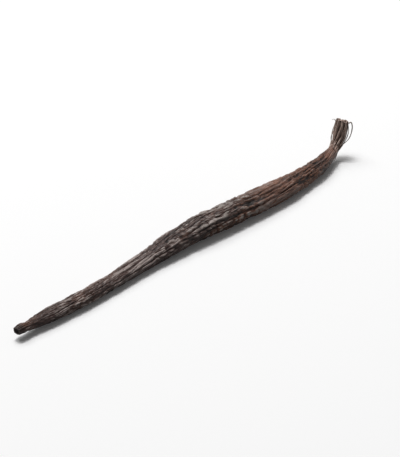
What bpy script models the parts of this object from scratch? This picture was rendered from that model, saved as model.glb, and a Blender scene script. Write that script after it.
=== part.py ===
"""A cured vanilla pod, lying as it rests on a table.

The pod is one closed skin, lofted along a gently bent centre line. Its blunt flower end is at -X. A slim
tail swells into a flattened belly, which narrows to a neck at +X and turns up into a short, flared stalk.
Shrinking has left broad folds along the skin, and the underside lies flat where it carries the pod.

Metres, +Z up. The origin is under the middle of the pod's box, on the surface that it rests on.
"""

import math
from typing import NamedTuple

import bmesh
import bpy
import numpy as np
from mathutils import Vector

MM = 0.001

# Driving dimensions
BODY_LENGTH = 152 * MM  # flower end to the foot of the stalk
BELLY_WIDTH = 10.9 * MM
BELLY_THICKNESS = 7.4 * MM
STALK_REACH = 5.8 * MM  # foot of the stalk to its cut end, along X
STALK_RISE = 8.6 * MM  # how far the stalk's centre line climbs above its foot
SETTLED = 0.16 * MM  # how much of the round underside is pressed flat

# Folds in the skin
FOLDS = 10
FOLD_DEPTH = 0.085  # share of the distance to the centre line
STALK_FOLD_DEPTH = 0.17  # the stalk is ribbed more deeply
NECK, RIBBED = 0.90, 0.97  # shares of the pod's length where the ribs begin, and where they are full
FURROW_DEPTH = 0.17
FURROW_HALF_ANGLE = math.radians(24)
FURROW_WANDER = math.radians(9)
FURROW_FADE = 0.12  # share of the pod's length over which a furrow opens or closes
TWIST = math.radians(55)  # how far the folds wind round from end to end
PRESSED_FROM, PRESSED_FULL = 0.55, 0.90  # how far down the section the folds start to flatten, and are flat

# Mesh density
RINGS = 88
SIDES = 4 * FOLDS
END_CROWDING = 0.75  # how much closer together the rings are at the ends, where 0 is evenly spaced
SQUARENESS = 2.25  # exponent of the section, where 2 is an ellipse

SKIN_COLOUR = (0.030, 0.015, 0.012, 1.0)
SKIN_ROUGHNESS = 0.42


class Station(NamedTuple):
    """The pod's section at one place along it."""

    along: float  # share of BODY_LENGTH, from the flower end
    aside: float  # metres to the side, +Y
    under: float  # height of the underside above the table, metres
    width: float  # share of BELLY_WIDTH
    thickness: float  # share of BELLY_THICKNESS


class StalkPoint(NamedTuple):
    """The stalk's section at one place up it."""

    reach: float  # share of STALK_REACH
    aside: float  # metres to the side, +Y
    rise: float  # share of STALK_RISE, above the foot's centre line
    width: float
    thickness: float


BODY = [
    Station(0.000, 0.0 * MM, 1.6 * MM, 0.28, 0.35),
    Station(0.012, 0.0 * MM, 1.4 * MM, 0.32, 0.40),
    Station(0.028, -0.1 * MM, 1.2 * MM, 0.31, 0.38),
    Station(0.048, -0.2 * MM, 0.8 * MM, 0.40, 0.45),
    Station(0.080, -0.3 * MM, 0.4 * MM, 0.51, 0.54),
    Station(0.120, -0.5 * MM, 0.0 * MM, 0.57, 0.58),
    Station(0.200, -1.1 * MM, -SETTLED, 0.59, 0.60),
    Station(0.290, -0.8 * MM, -SETTLED, 0.60, 0.61),
    Station(0.370, -0.4 * MM, -SETTLED, 0.66, 0.68),
    Station(0.450, -0.3 * MM, -SETTLED, 0.86, 0.85),
    Station(0.530, -0.9 * MM, -SETTLED, 1.00, 0.98),
    Station(0.620, -2.4 * MM, -SETTLED, 0.97, 1.00),
    Station(0.710, -3.4 * MM, -SETTLED, 0.92, 0.96),
    Station(0.790, -3.8 * MM, -SETTLED, 0.86, 0.90),
    Station(0.860, -3.6 * MM, 0.0 * MM, 0.75, 0.82),
    Station(0.925, -2.7 * MM, 0.4 * MM, 0.61, 0.72),
    Station(0.970, -1.3 * MM, 1.1 * MM, 0.45, 0.58),
    Station(1.000, -0.2 * MM, 2.2 * MM, 0.35, 0.47),
]
STALK = [
    StalkPoint(0.34, 0.1 * MM, 0.14, 0.37, 0.46),
    StalkPoint(0.66, 0.4 * MM, 0.40, 0.47, 0.49),
    StalkPoint(0.88, 0.6 * MM, 0.72, 0.51, 0.47),
    StalkPoint(1.00, 0.7 * MM, 1.00, 0.45, 0.40),
]
# The rim and hollow that close each end: share of the last section, and how far past it as a share of its width
END_CAP = [(0.92, 0.09), (0.72, 0.12), (0.50, -0.02), (0.26, -0.16)]

# Where each deep furrow starts and ends along the pod, and the angle round the section that it follows
FURROWS = [
    (0.16, 0.88, math.radians(62)),
    (0.34, 0.97, math.radians(128)),
    (0.05, 0.62, math.radians(205)),
]


def clear_scene():
    for obj in list(bpy.data.objects):
        bpy.data.objects.remove(obj, do_unlink=True)


def section_table():
    """One row for each station and stalk point: x, y, z of the centre, width and thickness."""
    rows = []
    for s in BODY:
        thickness = s.thickness * BELLY_THICKNESS
        centre_height = s.under + thickness / 2
        rows.append((s.along * BODY_LENGTH, s.aside, centre_height, s.width * BELLY_WIDTH, thickness))
    foot_height = rows[-1][2]
    for p in STALK:
        x = BODY_LENGTH + p.reach * STALK_REACH
        z = foot_height + p.rise * STALK_RISE
        rows.append((x, p.aside, z, p.width * BELLY_WIDTH, p.thickness * BELLY_THICKNESS))
    return np.array(rows)


def spline(knots, rows, at):
    """Smooth curve through the rows, and its direction, at the given distances."""
    steps = np.diff(knots)[:, None]
    slopes = np.diff(rows, axis=0) / steps
    inner = (slopes[:-1] * steps[1:] + slopes[1:] * steps[:-1]) / (steps[:-1] + steps[1:])
    slopes = np.vstack([slopes[:1], inner, slopes[-1:]])
    i = np.clip(np.searchsorted(knots, at, side="right") - 1, 0, len(knots) - 2)
    h = steps[i]
    t = (at[:, None] - knots[i][:, None]) / h
    value = (
        (2 * t**3 - 3 * t**2 + 1) * rows[i]
        + (t**3 - 2 * t**2 + t) * h * slopes[i]
        + (3 * t**2 - 2 * t**3) * rows[i + 1]
        + (t**3 - t**2) * h * slopes[i + 1]
    )
    direction = (
        (6 * t**2 - 6 * t) * (rows[i] - rows[i + 1]) / h
        + (3 * t**2 - 4 * t + 1) * slopes[i]
        + (3 * t**2 - 2 * t) * slopes[i + 1]
    )
    return value, direction


def ring_distances(total):
    """Distances along the centre line, closer together at the two ends."""
    even = np.linspace(0, 1, RINGS)
    eased = even - END_CROWDING * np.sin(2 * math.pi * even) / (2 * math.pi)
    return eased * total


def smoothstep(low, high, value):
    t = min(1.0, max(0.0, (value - low) / (high - low)))
    return t * t * (3 - 2 * t)


def furrow_at(angle, share):
    """How deep the furrows are at this angle, 0 to 1, where share is how far along the pod it is."""
    depth = 0.0
    for start, end, follows in FURROWS:
        opening = smoothstep(start, start + FURROW_FADE, share)
        closing = smoothstep(end - FURROW_FADE, end, share)
        wander = FURROW_WANDER * math.sin(9 * share + follows)
        away = (angle - follows - wander + math.pi) % (2 * math.pi) - math.pi
        depth += opening * (1 - closing) * math.exp(-((away / FURROW_HALF_ANGLE) ** 2))
    return depth


def skin_share(column, share):
    """How far out the skin is at this column and place along, as a share of the plain section."""
    angle = 2 * math.pi * column / SIDES
    phase = FOLDS * angle
    uneven = 0.6 + 0.4 * math.sin(3 * angle + 11 * share) * math.cos(7 * share)
    ribbed = smoothstep(NECK, RIBBED, share)
    depth = FOLD_DEPTH * uneven * (1 - ribbed) + STALK_FOLD_DEPTH * ribbed
    fold = depth * (0.5 - 0.5 * math.cos(phase))
    return 1 - fold - FURROW_DEPTH * furrow_at(angle, share)


def ring_points(centre, along, width, thickness, share):
    """The points of one section. The folds fade out on the underside, where the table presses them flat."""
    side = (Vector((0, 1, 0)) - along * along.y).normalized()
    up = along.cross(side)
    turn = TWIST * (share - 0.5)
    points = []
    for column in range(SIDES):
        angle = 2 * math.pi * column / SIDES + turn
        c, s = math.cos(angle), math.sin(angle)
        y = math.copysign(abs(c) ** (2 / SQUARENESS), c) * width / 2
        z = math.copysign(abs(s) ** (2 / SQUARENESS), s) * thickness / 2
        pressed = smoothstep(PRESSED_FROM, PRESSED_FULL, -s) * (1 - smoothstep(NECK, RIBBED, share))
        out = skin_share(column, share)
        out += (1 - out) * pressed
        points.append(centre + (side * y + up * z) * out)
    return points


def pod_rings():
    """Every ring of points from one end's hollow to the other's, and the point in the middle of each hollow."""
    rows = section_table()
    knots = np.concatenate([[0], np.cumsum(np.linalg.norm(np.diff(rows[:, :3], axis=0), axis=1))])
    at = ring_distances(knots[-1])
    values, directions = spline(knots, rows, at)
    centres = [Vector(value[:3]) for value in values]
    alongs = [Vector(direction[:3]).normalized() for direction in directions]
    widths, thicknesses = values[:, 3], values[:, 4]
    rings = [ring_points(*ring) for ring in zip(centres, alongs, widths, thicknesses, at / knots[-1])]
    start_cap, start_middle = end_cap(rings[0], centres[0], -alongs[0], widths[0])
    stop_cap, stop_middle = end_cap(rings[-1], centres[-1], alongs[-1], widths[-1])
    return start_cap[::-1] + rings + stop_cap, start_middle, stop_middle


def end_cap(points, centre, outward, width):
    """The rings of one end's rim and hollow, from the outside in, and the hollow's middle."""
    rings = []
    for share, past in END_CAP:
        rings.append([centre + (p - centre) * share + outward * past * width for p in points])
    middle = centre + outward * END_CAP[-1][1] * width
    return rings, middle


def loft(mesh, rings, start_middle, stop_middle):
    """Joins the rings into one closed skin."""
    loops = [[mesh.verts.new(p) for p in ring] for ring in rings]
    for near, far in zip(loops, loops[1:]):
        for i in range(SIDES):
            j = (i + 1) % SIDES
            mesh.faces.new((near[i], near[j], far[j], far[i]))
    for loop, middle in ((loops[0], start_middle), (loops[-1], stop_middle)):
        tip = mesh.verts.new(middle)
        for i in range(SIDES):
            mesh.faces.new((loop[i], loop[(i + 1) % SIDES], tip))
    bmesh.ops.recalc_face_normals(mesh, faces=mesh.faces)


def press_flat(mesh):
    """Cuts the skin off at the table, so that the underside is a flat face."""
    everything = mesh.verts[:] + mesh.edges[:] + mesh.faces[:]
    bmesh.ops.bisect_plane(mesh, geom=everything, plane_co=(0, 0, 0), plane_no=(0, 0, 1), clear_inner=True)
    open_edges = [edge for edge in mesh.edges if edge.is_boundary]
    bmesh.ops.holes_fill(mesh, edges=open_edges, sides=0)
    bmesh.ops.recalc_face_normals(mesh, faces=mesh.faces)


def centre_on_origin(mesh):
    """Moves the pod sideways so that its box is centred over the origin."""
    for axis in (0, 1):
        places = [v.co[axis] for v in mesh.verts]
        shift = (min(places) + max(places)) / 2
        for v in mesh.verts:
            v.co[axis] -= shift


def skin_material():
    material = bpy.data.materials.new("pod_skin")
    material.use_nodes = True
    shader = material.node_tree.nodes["Principled BSDF"]
    shader.inputs["Base Color"].default_value = SKIN_COLOUR
    shader.inputs["Roughness"].default_value = SKIN_ROUGHNESS
    shader.inputs["Metallic"].default_value = 0.0
    return material


def build_pod(collection):
    mesh = bmesh.new()
    loft(mesh, *pod_rings())
    press_flat(mesh)
    centre_on_origin(mesh)
    data = bpy.data.meshes.new("pod")
    mesh.to_mesh(data)
    mesh.free()
    data.shade_smooth()
    data.set_sharp_from_angle(angle=math.radians(50))
    data.materials.append(skin_material())
    collection.objects.link(bpy.data.objects.new("pod", data))


def main():
    clear_scene()
    collection = bpy.data.collections.new("vanilla_pod")
    bpy.context.scene.collection.children.link(collection)
    build_pod(collection)


main()
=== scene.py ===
"""The look of a cured vanilla pod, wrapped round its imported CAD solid, on a plain white table.

The skin is lofted along the solid's own centre line and wrinkled at several scales: long folds with
sharp creases between them, finer wrinkles that join and part, and patches of short cross-creases.
Frayed fibres stand round the stalk. +Z is up, and the pod runs from its flower end at -X to its stalk
at +X. Its shape is worked out in millimetres, and becomes metres where the meshes are made.
"""

import math
from typing import NamedTuple

import bpy
import numpy as np
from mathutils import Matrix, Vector

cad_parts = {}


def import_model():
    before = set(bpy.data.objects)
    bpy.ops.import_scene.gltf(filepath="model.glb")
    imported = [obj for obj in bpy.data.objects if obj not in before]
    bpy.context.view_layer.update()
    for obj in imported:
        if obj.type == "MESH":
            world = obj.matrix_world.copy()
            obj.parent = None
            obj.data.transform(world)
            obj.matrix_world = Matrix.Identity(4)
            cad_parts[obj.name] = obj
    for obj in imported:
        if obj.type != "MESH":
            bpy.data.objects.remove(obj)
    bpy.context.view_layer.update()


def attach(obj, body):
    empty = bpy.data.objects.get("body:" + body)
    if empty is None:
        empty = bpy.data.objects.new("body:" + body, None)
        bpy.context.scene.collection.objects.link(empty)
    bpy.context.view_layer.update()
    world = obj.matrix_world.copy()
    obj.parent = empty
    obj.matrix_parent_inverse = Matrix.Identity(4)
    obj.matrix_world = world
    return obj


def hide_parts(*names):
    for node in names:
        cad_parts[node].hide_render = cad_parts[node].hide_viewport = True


MM = 0.001

# The pod's sections along its body: distance from the flower end, offset to the side, height of the
# underside, width and thickness, all in millimetres.
BODY = np.array(
    [
        (0.0, 0.0, 1.60, 3.05, 2.59),
        (1.8, 0.0, 1.40, 3.49, 2.96),
        (4.3, -0.1, 1.20, 3.38, 2.81),
        (7.3, -0.2, 0.80, 4.36, 3.33),
        (12.2, -0.3, 0.40, 5.56, 4.00),
        (18.2, -0.5, 0.00, 6.21, 4.29),
        (30.4, -1.1, -0.16, 6.43, 4.44),
        (44.1, -0.8, -0.16, 6.54, 4.51),
        (56.2, -0.4, -0.16, 7.19, 5.03),
        (68.4, -0.3, -0.16, 9.37, 6.29),
        (80.6, -0.9, -0.16, 10.90, 7.25),
        (94.2, -2.4, -0.16, 10.57, 7.40),
        (107.9, -3.4, -0.16, 10.03, 7.10),
        (120.1, -3.8, -0.16, 9.37, 6.66),
        (130.7, -3.6, 0.00, 8.18, 6.07),
        (140.6, -2.7, 0.40, 6.65, 5.33),
        (147.4, -1.3, 1.10, 4.91, 4.29),
        (152.0, -0.2, 2.20, 3.82, 3.48),
    ]
)
# Up the stalk: distance past the body's last section, offset to the side, rise of the centre line
# above that section's, width and thickness, all in millimetres.
STALK = np.array(
    [
        (1.97, 0.1, 1.20, 4.03, 3.40),
        (3.83, 0.4, 3.44, 5.12, 3.63),
        (5.10, 0.6, 6.19, 5.56, 3.48),
        (5.80, 0.7, 8.60, 4.91, 2.96),
    ]
)
SQUARENESS = 2.25  # a section's exponent: 2 is an ellipse, and more is squarer
FLATNESS = 0.68  # a section's usual thickness, as a share of its width
ORIGIN = np.array([79.418, -1.909, 0.0])  # the frame's origin, from the foot of the flower end, in mm

# Mesh density
RINGS = 548
COLUMNS = 176

# The rim and hollow that close each end: share of the last section, and how far past it as a share of
# its width. A ragged rim is out of line by up to so many millimetres.
FLOWER_END = [(0.97, 0.05), (0.86, 0.10), (0.70, 0.10), (0.52, 0.02), (0.32, -0.10), (0.14, -0.16)]
STALK_END = [(0.97, 0.04), (0.88, 0.07), (0.76, -0.04), (0.64, -0.22), (0.44, -0.40), (0.16, -0.46)]
FLOWER_RAGGED = 0.05
STALK_RAGGED = 0.55
# Painted shade: the skin darkens ring by ring into each end's hollow
HOLLOW_SHADING = np.array([0.90, 0.75, 0.40, 0.15, 0.05, 0.0])  # how light the skin is on each of those rings
STALK_CUT = 0.6  # millimetres that the skin stops short, so that its ragged end stays in the solid's box


class Layer(NamedTuple):
    """One size of wrinkle, made of noise on the skin."""

    length: float  # of a wrinkle along the pod, in mm
    count: int  # about how many of them go round the pod
    seed: int
    sharpness: float
    depth: float  # in mm, on a section of mean radius BELLY_RADIUS


BELLY_RADIUS = 4.5
FOLDS = Layer(length=46, count=12, seed=2, sharpness=2.6, depth=0.42)
WRINKLES = Layer(length=9, count=23, seed=3, sharpness=2.6, depth=0.36)
FINE = Layer(length=3.4, count=38, seed=4, sharpness=2.4, depth=0.15)
CROSSWISE = Layer(length=3.1, count=13, seed=7, sharpness=2.4, depth=0.42)
PUCKERS = Layer(length=1.6, count=17, seed=10, sharpness=2.2, depth=0.16)
LUMP_HEIGHT = 0.16  # in mm, as the layers' depths are
RIBS = 8  # strands round the stalk
RIB_DEPTH = 0.90  # in mm, of the grooves between them
TWIST = math.radians(55)  # of the folds, from one end of the pod to the other
GRAIN_STRETCH = 0.12  # what a length along the skin counts for in its grain, against one across it

# The long furrows: start and end as shares of the pod's length, and degrees round the skin
FURROWS = [(0.16, 0.90, 62), (0.34, 0.97, 128), (0.05, 0.66, 205), (0.45, 0.93, 168)]
FURROW_DEPTH = 0.60  # in mm
FURROW_FADE = 0.12  # share of the pod's length over which one opens or closes
FURROW_SIDES = 0.36  # half widths, in radians round the skin, of its sloping sides
FURROW_BED = 0.10  # and of its sharp bottom

# Where the stalk begins and the belly swells and shrinks, as shares of the pod's length
STALK_BEGINS = (0.915, 0.965)
BELLY_SWELLS = (0.38, 0.46)
BELLY_SHRINKS = (0.60, 0.68)

# Loose fibres of the stalk. Each is a line of points on or off the skin: distance along the pod in mm,
# angle round it in degrees, and millimetres out from the skin. Then comes its thickness in mm.
FIBRES = [
    ([(151.0, 104, -0.3), (150.2, 112, 0.5), (149.4, 116, 1.7), (148.2, 110, 2.6)], 0.34),
    (
        [
            (162.6, 196, -0.2),
            (162.9, 212, 0.7),
            (160.8, 226, 1.3),
            (157.8, 224, 1.1),
            (154.8, 214, -0.3),
        ],
        0.42,
    ),
    ([(162.4, 250, -0.2), (161.4, 262, 0.7), (158.6, 268, 0.9), (156.2, 262, -0.2)], 0.30),
    ([(154.0, 168, -0.1), (157.4, 160, 0.35), (160.6, 150, 0.25), (163.0, 140, -0.3)], 0.42),
    ([(153.6, 128, -0.1), (157.0, 132, 0.30), (160.4, 118, 0.30), (163.2, 104, -0.5)], 0.36),
    ([(153.0, 192, -0.1), (156.0, 184, 0.30), (159.4, 190, 0.20), (162.4, 178, -0.2)], 0.34),
    ([(161.4, 96, -0.3), (162.8, 92, 0.3), (163.1, 84, 1.0)], 0.26),
    ([(161.8, 40, -0.3), (162.9, 34, 0.4), (162.6, 22, 1.2)], 0.24),
    ([(153.6, 60, -0.2), (155.8, 52, 0.6), (158.4, 58, 0.4), (160.8, 50, -0.3)], 0.32),
    ([(161.4, 330, -0.2), (162.6, 322, 0.5), (161.0, 314, 0.9), (158.8, 318, -0.2)], 0.26),
    ([(153.2, 236, -0.3), (151.8, 242, 0.3), (150.0, 238, 0.5), (148.4, 230, 0.2)], 0.24),
    ([(152.6, 10, -0.2), (155.6, 2, 0.35), (159.0, 12, 0.25), (162.0, 4, -0.3)], 0.34),
]
FIBRE_SIDES = 8
FIBRE_STEPS = 26
FIBRE_TAPER = 0.45  # share of its thickness that a fibre loses by its far end
FIBRE_UNEVEN = 0.25  # share by which its thickness goes up and down
NO_FIBRE = np.array([0.3, 0.5, 0.8])  # a direction that no fibre runs in

# Colours, linear
# Near black: painted shade in the creases, cracks, furrows, the ends' hollows and on the underside, and
# also the real colour of dark streaks and of the flower end's tip
CREASE = (0.005, 0.0025, 0.002, 1.0)
BROWN = (0.062, 0.031, 0.024, 1.0)
REDDISH = (0.200, 0.088, 0.053, 1.0)
# Painted highlight on the crests, partly the pod's dry dusty bloom
DUST_AND_HIGHLIGHT = (0.390, 0.325, 0.300, 1.0)
# Painted sheen, silver, on the crests of the belly
PAINTED_SHEEN = (0.380, 0.338, 0.310, 1.0)
# Painted shade in the grooves between the stalk's ribs
STALK_GROOVE_SHADE = (0.035, 0.018, 0.013, 1.0)
# The stalk's tan ribs, lightened as painted light for a stalk that stands in shade
STALK_RIB_AND_PAINTED_LIGHT = (0.56, 0.420, 0.355, 1.0)
STALK_STREAK = (0.085, 0.048, 0.035, 1.0)
FIBRE_DARK = (0.22, 0.15, 0.12, 1.0)
FIBRE_PALE = (0.52, 0.41, 0.35, 1.0)
WHITE = (0.97, 0.97, 0.97, 1.0)
GREY = (0.18, 0.18, 0.18, 1.0)
PURE_WHITE = (1.0, 1.0, 1.0, 1.0)

# The studio, in metres. The table glows a little for the camera, and the world is white to it, while
# the light that they throw on the pod is less.
TABLE_HALF = 3.0
TABLE_GLOW = 0.03
WORLD_LIGHT = 0.12
WORLD_SEEN = 1.0
TARGET = Vector((0.0, 0.0, 0.004))  # what the camera and lamps point at
VIEW_AZIMUTH = math.radians(-50)
VIEW_ELEVATION = math.radians(28.5)
VIEW_DISTANCE = 0.62
LENS = 178
SENSOR = 36
# Each lamp's name, how far it is behind the pod, to the left and up, its size, and its power in watts
LAMPS = [("softbox", 1.10, 0.55, 2.10, 2.00, 43), ("lamp", 0.90, 0.35, 2.10, 0.45, 20)]

# Tables of the gradient noise, and what brings it to about -1 to 1
PERMUTED = np.random.default_rng(11).permutation(256)
GRADIENTS = np.random.default_rng(12).normal(size=(256, 3))
GRADIENTS /= np.linalg.norm(GRADIENTS, axis=1)[:, None]
NOISE_GAIN = 1.6


def noise(x, y, z):
    """Smooth gradient noise, about -1 to 1."""
    place = np.stack(np.broadcast_arrays(x, y, z), axis=-1)
    cell = np.floor(place).astype(int)
    inside = place - cell
    ease = inside**3 * (inside * (inside * 6 - 15) + 10)
    total = np.zeros(place.shape[:-1])
    for corner in np.ndindex(2, 2, 2):
        c = (cell + corner) & 255
        which = PERMUTED[(PERMUTED[(PERMUTED[c[..., 0]] + c[..., 1]) & 255] + c[..., 2]) & 255]
        dot = (GRADIENTS[which] * (inside - corner)).sum(axis=-1)
        weight = np.where(corner, ease, 1 - ease).prod(axis=-1)
        total += weight * dot
    return total * NOISE_GAIN


def around(along, angle, length, count, seed):
    """Noise on the skin: features are this long in mm, and about count of them go round the pod."""
    radius = count / (2 * math.pi)
    return noise(along / length + 31.7 * seed, radius * np.cos(angle) + 5.3 * seed, radius * np.sin(angle))


def smoothstep(low, high, value):
    """0 below low, 1 above high, and smooth between them."""
    t = np.clip((value - low) / (high - low), 0, 1)
    return t * t * (3 - 2 * t)


def unit(v):
    """The vectors, at a length of 1."""
    return v / np.linalg.norm(v, axis=-1, keepdims=True)


def section_rows():
    """x, y, z of the centre, width and thickness of each section, in millimetres."""
    body = BODY.copy()
    body[:, 2] += body[:, 4] / 2
    stalk = STALK.copy()
    stalk[:, 0] += body[-1, 0]
    stalk[:, 2] += body[-1, 2]
    return np.vstack([body, stalk])


def spline(knots, rows, at):
    """Smooth curve through the rows, and its direction, at the given distances."""
    steps = np.diff(knots)[:, None]
    slopes = np.diff(rows, axis=0) / steps
    inner = (slopes[:-1] * steps[1:] + slopes[1:] * steps[:-1]) / (steps[:-1] + steps[1:])
    slopes = np.vstack([slopes[:1], inner, slopes[-1:]])
    i = np.clip(np.searchsorted(knots, at, side="right") - 1, 0, len(knots) - 2)
    h = steps[i]
    t = (at[:, None] - knots[i][:, None]) / h
    value = (
        (2 * t**3 - 3 * t**2 + 1) * rows[i]
        + (t**3 - 2 * t**2 + t) * h * slopes[i]
        + (3 * t**2 - 2 * t**3) * rows[i + 1]
        + (t**3 - t**2) * h * slopes[i + 1]
    )
    direction = (
        (6 * t**2 - 6 * t) * (rows[i] - rows[i + 1]) / h
        + (3 * t**2 - 4 * t + 1) * slopes[i]
        + (3 * t**2 - 2 * t) * slopes[i + 1]
    )
    return value, direction


def section_distances(rows):
    """How far along the centre line each section is, in millimetres."""
    return np.concatenate([[0], np.cumsum(np.linalg.norm(np.diff(rows[:, :3], axis=0), axis=1))])


def frames(at):
    """The section at each distance along the pod.

    Gives its centre, its level side, up and forward directions, its width and thickness, and how far
    along the pod it is, as a share of the whole.
    """
    rows = section_rows()
    knots = section_distances(rows)
    value, direction = spline(knots, rows, at)
    forward = unit(direction[:, :3])
    side = unit(np.array([0.0, 1.0, 0.0]) - forward * forward[:, 1:2])
    return value[:, :3], side, np.cross(forward, side), forward, value[:, 3], value[:, 4], at / knots[-1]


def superellipse(angle):
    """y and z of a section that is 1 wide and 1 thick."""
    c, s = np.cos(angle), np.sin(angle)
    power = 2 / SQUARENESS
    return np.sign(c) * np.abs(c) ** power / 2, np.sign(s) * np.abs(s) ** power / 2


def even_section():
    """Angles that space the columns evenly round a flattened section."""
    fine = np.linspace(0, 2 * math.pi, 4001)
    y, z = superellipse(fine)
    run = np.concatenate([[0], np.cumsum(np.hypot(np.diff(y), FLATNESS * np.diff(z)))])
    return np.interp(np.arange(COLUMNS) / COLUMNS * run[-1], run, fine)


def crease(value, sharpness):
    """Turns noise into rounded ridges with sharp valleys between them, 0 in a valley and 1 on a crest."""
    return np.clip(np.abs(value) * sharpness, 0, 1) ** 0.7


def ridges(layer, along, angle):
    """The ridges of one size of wrinkle, 0 in a valley and 1 on a crest."""
    return crease(around(along, angle, layer.length, layer.count, layer.seed), layer.sharpness)


def with_the_folds(along, angle, share):
    """The angle round the skin, twisted and swayed as the folds are."""
    wander = 0.30 * noise(along / 21, 0.3, 0.7) + 0.16 * around(along, angle, 9, 5, 1)
    return angle + TWIST * (share - 0.5) + wander


def furrow_depth(q, share):
    """How deep in a furrow the skin is, about 0 to 1."""
    total = np.zeros_like(q)
    for start, end, degrees in FURROWS:
        opening = smoothstep(start, start + FURROW_FADE, share)
        opening = opening * (1 - smoothstep(end - FURROW_FADE, end, share))
        away = (q - math.radians(degrees) + math.pi) % (2 * math.pi) - math.pi
        sides = np.exp(-((away / FURROW_SIDES) ** 2))
        bed = np.exp(-((away / FURROW_BED) ** 2))
        total += opening * (0.55 * sides + 0.45 * bed)
    return total


def crinkled(along, angle, share):
    """Where short creases cross the folds, 0 to 1: here and there, and more so on the belly."""
    belly = smoothstep(*BELLY_SWELLS, share) * (1 - smoothstep(*BELLY_SHRINKS, share))
    crinkly = noise(along / 17, 4.2, 1.1) + 0.5 * around(along, angle, 10, 4, 5) + 0.35 * belly
    return smoothstep(-0.45, 0.30, crinkly)


def stalk_ribs(along, angle, q):
    """The strands that the stalk is made of, 0 between two and 1 on one."""
    straying = around(along, angle, 6, 4, 13)
    return 0.5 + 0.5 * np.cos(RIBS * q + 1.6 * noise(along / 4, 8.1, 0.2) + 1.1 * straying)


def relief(along, angle, q, share, radius):
    """How far the skin stands out from its plain section, and how near it is to a crest.

    The first is in millimetres, and the second from 0 in a valley to 1 on a crest, lowered as painted shade
    in cracks, furrows and on the underside.
    """
    scale = (radius / BELLY_RADIUS) ** 0.75
    stalk = smoothstep(*STALK_BEGINS, share)
    furrows = furrow_depth(q, share)
    folds = ridges(FOLDS, along, q)
    wrinkles = ridges(WRINKLES, along, q + 0.08 * around(along, q, 3.5, 16, 9))
    fine = ridges(FINE, along, q)
    patch = crinkled(along, angle, share)
    slant = along + 0.9 * around(along, angle, 3, 9, 6)
    cross = ridges(CROSSWISE, slant, q)
    pucker = ridges(PUCKERS, slant, q)
    lumps = around(along, angle, 13, 3, 8)
    ribs = stalk_ribs(along, angle, q)
    out = (
        -FURROW_DEPTH * furrows * (1 - stalk)
        - FOLDS.depth * (1 - folds) * (1 - 0.5 * stalk)
        - WRINKLES.depth * (1 - wrinkles)
        - FINE.depth * (1 - fine)
        - (CROSSWISE.depth * (1 - cross) + PUCKERS.depth * (1 - pucker)) * patch * (1 - stalk)
        + LUMP_HEIGHT * lumps
        - RIB_DEPTH * (1 - ribs) * stalk
    )
    # Painted shade: the crest is lower where the skin is cracked across, and on the underside
    cracked = patch * (1 - 0.65 * cross - 0.35 * pucker)
    body_crest = (0.36 * folds + 0.42 * wrinkles + 0.22 * fine) * (1 - 0.75 * cracked)
    underside_shade = smoothstep(0.10, -0.75, np.sin(angle))
    body_crest = body_crest * (1 - 0.45 * underside_shade)
    crest = body_crest * (1 - stalk) + (0.7 * ribs + 0.3 * wrinkles) * stalk
    # Painted shade: the crest is lower still in the furrows
    return out * scale, np.clip(crest - 0.16 * furrows * (1 - stalk), 0, 1)


def end_rings(points, centre, outward, width, profile, ragged):
    """The rings that close one end: its rim, which is ragged, and the hollow inside it."""
    rings = []
    for share, past in profile:
        lift = past * width + ragged * smoothstep(0.55, 0.95, share)
        rings.append(centre + (points - centre) * share + outward * np.broadcast_to(lift, COLUMNS)[:, None])
    return rings


def end_grain(grain, profile):
    """The last section's places in the grain, drawn in with each ring that closes the end."""
    return [grain * np.array([1.0, share, share]) for share, _ in profile]


def pod_skin():
    """The skin's vertices, ring by ring, and the middles of its two ends, in millimetres.

    With them come each vertex's crest, its share along the pod, and its place in the skin's grain,
    which is drawn out along the folds.
    """
    at = np.linspace(0, section_distances(section_rows())[-1] - STALK_CUT, RINGS)
    centre, side, up, forward, width, thickness, share = frames(at)
    y, z = superellipse(even_section())
    section_y = width[:, None] * y
    section_z = thickness[:, None] * z
    run_y = np.roll(section_y, -1, axis=1) - np.roll(section_y, 1, axis=1)
    run_z = np.roll(section_z, -1, axis=1) - np.roll(section_z, 1, axis=1)
    length = np.hypot(run_y, run_z)
    even = np.arange(COLUMNS) * 2 * math.pi / COLUMNS
    radius = np.sqrt(width * thickness)[:, None] / 2
    q = with_the_folds(at[:, None], even[None, :], share[:, None])
    out, crest = relief(at[:, None], even[None, :], q, share[:, None], radius)
    lengthways = np.broadcast_to(GRAIN_STRETCH * at[:, None], q.shape)
    grain = np.stack([lengthways, radius * np.cos(q), radius * np.sin(q)], axis=-1)
    section_y = section_y + run_z / length * out
    section_z = section_z - run_y / length * out
    points = centre[:, None] + side[:, None] * section_y[..., None] + up[:, None] * section_z[..., None]
    rag = noise(even * 2.6, 3.3, 0.5)
    start = end_rings(points[0], centre[0], -forward[0], width[0], FLOWER_END, FLOWER_RAGGED * rag)
    stop = end_rings(points[-1], centre[-1], forward[-1], width[-1], STALK_END, STALK_RAGGED * rag)
    middles = (
        centre[0] - forward[0] * FLOWER_END[-1][1] * width[0],
        centre[-1] + forward[-1] * STALK_END[-1][1] * width[-1],
    )
    rings = np.stack([*start[::-1], *points, *stop])
    hollow = np.repeat(HOLLOW_SHADING[:, None], COLUMNS, axis=1)
    crests = np.vstack([hollow[::-1], crest, hollow])
    shares = np.concatenate([np.zeros(len(start)), share, np.ones(len(stop))])
    shares = np.repeat(shares[:, None], COLUMNS, axis=1)
    grain = np.stack([*end_grain(grain[0], FLOWER_END)[::-1], *grain, *end_grain(grain[-1], STALK_END)])
    return rings, middles, crests, shares, grain


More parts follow.
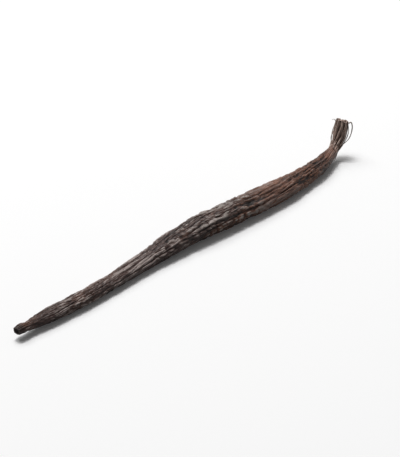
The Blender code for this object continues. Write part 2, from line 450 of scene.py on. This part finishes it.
def skin_faces(count):
    """Quads between the rings, and triangles from the outer rings to the middles of the ends."""
    ring = np.arange(count - 1)[:, None] * COLUMNS
    here = np.arange(COLUMNS)[None, :]
    there = (here + 1) % COLUMNS
    quads = np.stack([ring + here, ring + there, ring + COLUMNS + there, ring + COLUMNS + here], axis=-1)
    first, last = count * COLUMNS, count * COLUMNS + 1
    end = (count - 1) * COLUMNS
    faces = quads.reshape(-1, 4).tolist()
    faces += [(int(j), int(i), first) for i, j in zip(here[0], there[0])]
    faces += [(int(end + i), int(end + j), last) for i, j in zip(here[0], there[0])]
    return faces


def add_piece(name, places, faces, material):
    """A smooth mesh object, from places in metres."""
    mesh = bpy.data.meshes.new(name)
    mesh.from_pydata(places.tolist(), [], faces)
    mesh.shade_smooth()
    mesh.materials.append(material)
    piece = bpy.data.objects.new(name, mesh)
    bpy.context.scene.collection.objects.link(piece)
    return piece


def add_attribute(mesh, name, values):
    """Gives each vertex the number, or the three numbers, that the material reads by this name."""
    kind, field = ("FLOAT", "value") if values.ndim == 1 else ("FLOAT_VECTOR", "vector")
    layer = mesh.attributes.new(name, kind, "POINT")
    layer.data.foreach_set(field, values.ravel().astype(np.float32))


def build_pod(material):
    """The skin, from one closed end to the other, which lies flat where it meets the table."""
    rings, middles, crests, shares, grain = pod_skin()
    places = np.vstack([rings.reshape(-1, 3), np.array(middles)]) - ORIGIN
    places[:, 2] = np.maximum(places[:, 2], 0.0)
    pod = add_piece("pod_skin", places * MM, skin_faces(len(rings)), material)
    add_attribute(pod.data, "crest", np.append(crests.ravel(), [0.0, 0.0]))
    add_attribute(pod.data, "share", np.append(shares.ravel(), [0.0, 1.0]))
    middles = [grain[0].mean(axis=0), grain[-1].mean(axis=0)]
    add_attribute(pod.data, "grain", np.vstack([grain.reshape(-1, 3), middles]))
    return pod


def fibre_line(stops):
    """A smooth line through a fibre's points, in millimetres."""
    stops = np.array(stops, float)
    knots = np.arange(len(stops), dtype=float)
    value, _ = spline(knots, stops, np.linspace(0, knots[-1], FIBRE_STEPS))
    at, degrees, off = value.T
    centre, side, up, _, width, thickness, _ = frames(at)
    angle = np.radians(degrees)
    y, z = superellipse(angle)
    outward = unit(side * np.cos(angle)[:, None] + up * np.sin(angle)[:, None])
    return centre + side * (y * width)[:, None] + up * (z * thickness)[:, None] + outward * off[:, None]


def build_fibres(material):
    """The frayed fibres, as one mesh of thin tapering tubes."""
    places, faces = [], []
    run = np.linspace(0, 1, FIBRE_STEPS)
    turn = np.arange(FIBRE_SIDES) * 2 * math.pi / FIBRE_SIDES
    for stops, thick in FIBRES:
        line = fibre_line(stops) - ORIGIN
        forward = unit(np.gradient(line, axis=0))
        across = unit(np.cross(forward, NO_FIBRE))
        over = np.cross(forward, across)
        uneven = 1 + FIBRE_UNEVEN * noise(run * 7, thick * 40, 0.3)
        thin = thick / 2 * (1 - FIBRE_TAPER * run**2) * uneven
        ring = across[:, None] * np.cos(turn)[None, :, None] + over[:, None] * np.sin(turn)[None, :, None]
        first = len(places)
        places += (line[:, None] + ring * thin[:, None, None]).reshape(-1, 3).tolist()
        for step in range(FIBRE_STEPS - 1):
            low = first + step * FIBRE_SIDES
            for i in range(FIBRE_SIDES):
                j = (i + 1) % FIBRE_SIDES
                faces.append((low + i, low + j, low + FIBRE_SIDES + j, low + FIBRE_SIDES + i))
        faces.append(tuple(first + i for i in reversed(range(FIBRE_SIDES))))
        faces.append(tuple(first + (FIBRE_STEPS - 1) * FIBRE_SIDES + i for i in range(FIBRE_SIDES)))
    return add_piece("stalk_fibres", np.array(places) * MM, faces, material)


def new_material(name):
    """A material, its node tree and its shader."""
    material = bpy.data.materials.new(name)
    material.use_nodes = True
    tree = material.node_tree
    return material, tree, tree.nodes["Principled BSDF"]


def node(tree, kind, inputs=(), **settings):
    """Adds a node. An input that is given a socket is linked to it, and any other is set."""
    made = tree.nodes.new(kind)
    for key, value in settings.items():
        setattr(made, key, value)
    for key, value in dict(inputs).items():
        if isinstance(value, bpy.types.NodeSocket):
            tree.links.new(value, made.inputs[key])
        else:
            made.inputs[key].default_value = value
    return made


def mix(tree, amount, a, b):
    """Mixes two colours, or sockets that carry them."""
    made = node(tree, "ShaderNodeMix", {0: amount, 6: a, 7: b}, data_type="RGBA")
    return made.outputs[2]


def maths(tree, operation, *values):
    """One sum of numbers, or of sockets that carry them."""
    return node(tree, "ShaderNodeMath", dict(enumerate(values)), operation=operation).outputs[0]


def times(tree, a, b):
    """The product of two numbers, or of sockets that carry them."""
    return maths(tree, "MULTIPLY", a, b)


def ramp(tree, value, low, high, to_low=0.0, to_high=1.0):
    """Goes smoothly from to_low to to_high as the value goes from low to high."""
    made = node(
        tree,
        "ShaderNodeMapRange",
        {"Value": value, "From Min": low, "From Max": high, "To Min": to_low, "To Max": to_high},
        interpolation_type="SMOOTHSTEP",
    )
    return made.outputs["Result"]


def speckle(tree, vector, scale, detail, roughness=0.6):
    """Noise from 0 to 1, mostly near a half."""
    inputs = {"Vector": vector, "Scale": scale, "Detail": detail, "Roughness": roughness}
    return node(tree, "ShaderNodeTexNoise", inputs).outputs["Fac"]


def attribute(tree, name, output="Fac"):
    """What build_pod gave each vertex by this name."""
    return node(tree, "ShaderNodeAttribute", attribute_name=name).outputs[output]


def skin_colour(tree, crest, share, broad, patchy, streaks):
    """The colour of the body: brown folds with near black painted shade in the creases, and on their crests
    painted highlights, partly dust, and a painted silver sheen.
    """
    red_band = times(tree, ramp(tree, share, 0.56, 0.68), ramp(tree, share, 0.90, 0.82))
    red = maths(tree, "MAXIMUM", ramp(tree, broad, 0.46, 0.66), red_band)
    red = times(tree, red, ramp(tree, patchy, 0.34, 0.56, 0.35, 1.0))
    base = mix(tree, red, BROWN, REDDISH)
    base = mix(tree, ramp(tree, streaks, 0.34, 0.50, 0.60, 0.0), base, CREASE)
    # Painted shade: near black where the crest is low, in creases, cracks, furrows and under the pod
    base = mix(tree, ramp(tree, crest, 0.10, 0.52), CREASE, base)
    # Painted highlight, partly dust: light on the crests, more so towards the flower end
    wear_and_highlight = times(tree, ramp(tree, crest, 0.44, 0.78), ramp(tree, patchy, 0.38, 0.56))
    base = mix(tree, times(tree, wear_and_highlight, ramp(tree, share, 0.74, 0.50, 0.30, 0.90)), base, DUST_AND_HIGHLIGHT)
    # Painted sheen: silver on the crests of the belly
    belly = times(tree, ramp(tree, share, 0.38, 0.47), ramp(tree, share, 0.68, 0.58))
    painted_sheen_mask = times(tree, ramp(tree, crest, 0.40, 0.72), ramp(tree, broad, 0.36, 0.56, 0.25, 1.0))
    painted_sheen_mask = times(tree, painted_sheen_mask, ramp(tree, streaks, 0.36, 0.54, 0.25, 1.0))
    return mix(tree, times(tree, belly, painted_sheen_mask), base, PAINTED_SHEEN)


def end_colours(tree, base, crest, share, streaks):
    """The same colour with the stalk's own, which begins unevenly, and with a dark flower end. The stalk
    has painted shade in its grooves, and its ribs are lightened as painted light.
    """
    # Painted shade in the stalk's grooves, and its ribs lightened as painted light
    stalk = mix(tree, ramp(tree, crest, 0.15, 0.72), STALK_GROOVE_SHADE, STALK_RIB_AND_PAINTED_LIGHT)
    stalk = mix(tree, ramp(tree, streaks, 0.36, 0.54, 0.50, 0.0), stalk, STALK_STREAK)
    ragged = maths(tree, "MULTIPLY_ADD", streaks, 0.10, share)
    base = mix(tree, ramp(tree, ragged, 0.965, 1.015), base, stalk)
    return mix(tree, ramp(tree, share, 0.022, 0.004, 0.0, 0.75), base, CREASE)


def skin_material():
    """Oily, leathery skin, coloured by painted shade in its creases, painted highlights and sheen on its
    crests, and its grain.
    """
    material, tree, shader = new_material("vanilla_skin")
    places = node(tree, "ShaderNodeTexCoord").outputs["Object"]
    stretched = node(tree, "ShaderNodeMapping", {"Vector": places, "Scale": (0.35, 1.0, 1.0)}).outputs[0]
    crest = attribute(tree, "crest")
    share = attribute(tree, "share")
    grain = attribute(tree, "grain", "Vector")
    broad = speckle(tree, stretched, 70, 3)
    patchy = speckle(tree, stretched, 260, 4)
    streaks = speckle(tree, grain, 2.6, 4)
    strands = speckle(tree, grain, 6.5, 3)
    base = skin_colour(tree, crest, share, broad, patchy, streaks)
    base = end_colours(tree, base, crest, share, streaks)
    tree.links.new(base, shader.inputs["Base Color"])
    uneven = ramp(tree, patchy, 0.3, 0.7, 0.17, 0.34)
    dull_creases = ramp(tree, crest, 0.3, 0.8, 0.16, 0.0)
    tree.links.new(maths(tree, "ADD", uneven, dull_creases), shader.inputs["Roughness"])
    bump = node(tree, "ShaderNodeBump", {"Height": strands, "Strength": 0.5, "Distance": 0.0002})
    tree.links.new(bump.outputs["Normal"], shader.inputs["Normal"])
    shader.inputs["Metallic"].default_value = 0.0
    shader.inputs["Specular IOR Level"].default_value = 0.17
    return material


def fibre_material():
    """Dry fibre, in browns that change along it."""
    material, tree, shader = new_material("stalk_fibre")
    places = node(tree, "ShaderNodeTexCoord").outputs["Object"]
    fade = speckle(tree, places, 700, 2, 0.5)
    colour = mix(tree, ramp(tree, fade, 0.35, 0.65), FIBRE_DARK, FIBRE_PALE)
    tree.links.new(colour, shader.inputs["Base Color"])
    shader.inputs["Roughness"].default_value = 0.5
    shader.inputs["Specular IOR Level"].default_value = 0.3
    return material


def seen_as_white(tree):
    """1 where the camera, a reflection or clear glass looks, and 0 for the light that falls on things."""
    path = node(tree, "ShaderNodeLightPath").outputs
    seen = maths(tree, "MAXIMUM", path["Is Camera Ray"], path["Is Glossy Ray"])
    return maths(tree, "MAXIMUM", seen, path["Is Transmission Ray"])


def build_floor():
    """A plain white table. Cameras and reflections see it lit to white, and it keeps the pod's shadow."""
    mesh = bpy.data.meshes.new("table")
    corners = [(x * TABLE_HALF, y * TABLE_HALF, 0) for x, y in ((-1, -1), (1, -1), (1, 1), (-1, 1))]
    mesh.from_pydata(corners, [], [(0, 1, 2, 3)])
    floor = bpy.data.objects.new("table", mesh)
    bpy.context.scene.collection.objects.link(floor)
    material, tree, shader = new_material("white_table")
    shader.inputs["Roughness"].default_value = 0.9
    shader.inputs["Specular IOR Level"].default_value = 0.0
    seen = seen_as_white(tree)
    tree.links.new(mix(tree, seen, GREY, WHITE), shader.inputs["Base Color"])
    shader.inputs["Emission Color"].default_value = PURE_WHITE
    tree.links.new(ramp(tree, seen, 0.0, 1.0, 0.0, TABLE_GLOW), shader.inputs["Emission Strength"])
    mesh.materials.append(material)


def build_world():
    """White all round to the camera and in reflections, and a faint even light on the pod."""
    world = bpy.data.worlds.new("studio")
    bpy.context.scene.world = world
    world.use_nodes = True
    tree = world.node_tree
    back = tree.nodes["Background"]
    back.inputs["Color"].default_value = PURE_WHITE
    strength = ramp(tree, seen_as_white(tree), 0.0, 1.0, WORLD_LIGHT, WORLD_SEEN)
    tree.links.new(strength, back.inputs["Strength"])


def away_and_right():
    """Level directions, away from the camera and to its right."""
    away = Vector((-math.sin(VIEW_AZIMUTH), math.cos(VIEW_AZIMUTH), 0))
    right = Vector((math.cos(VIEW_AZIMUTH), math.sin(VIEW_AZIMUTH), 0))
    return away, right


def place_and_aim(name, data, location):
    """A lamp or camera at a place, turned to the target."""
    obj = bpy.data.objects.new(name, data)
    obj.location = location
    obj.rotation_euler = (TARGET - obj.location).to_track_quat("-Z", "Y").to_euler()
    bpy.context.scene.collection.objects.link(obj)
    return obj


def build_lights():
    """A wide soft light behind the pod and above it, and a smaller one for its sharper shadows."""
    away, right = away_and_right()
    for name, behind, left, height, size, power in LAMPS:
        lamp = bpy.data.lights.new(name, "AREA")
        lamp.shape = "SQUARE"
        lamp.size = size
        lamp.energy = power
        place_and_aim(name, lamp, TARGET + (away * behind - right * left + Vector((0, 0, height))))


def build_camera():
    """The camera, with a long lens, above the pod and to one side."""
    away, _ = away_and_right()
    back = -away * math.cos(VIEW_ELEVATION) + Vector((0, 0, math.sin(VIEW_ELEVATION)))
    camera = bpy.data.cameras.new("camera")
    camera.sensor_fit = "HORIZONTAL"
    camera.sensor_width = SENSOR
    camera.lens = LENS
    bpy.context.scene.camera = place_and_aim("camera", camera, TARGET + back * VIEW_DISTANCE)


def main():
    """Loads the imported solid, builds the pod round it, and sets up the studio and the view."""
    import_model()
    pod = build_pod(skin_material())
    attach(pod, "root")
    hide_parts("pod")
    fibres = build_fibres(fibre_material())
    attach(fibres, "root")
    build_floor()
    build_world()
    build_lights()
    build_camera()
    bpy.context.scene.view_settings.view_transform = "Standard"


main()
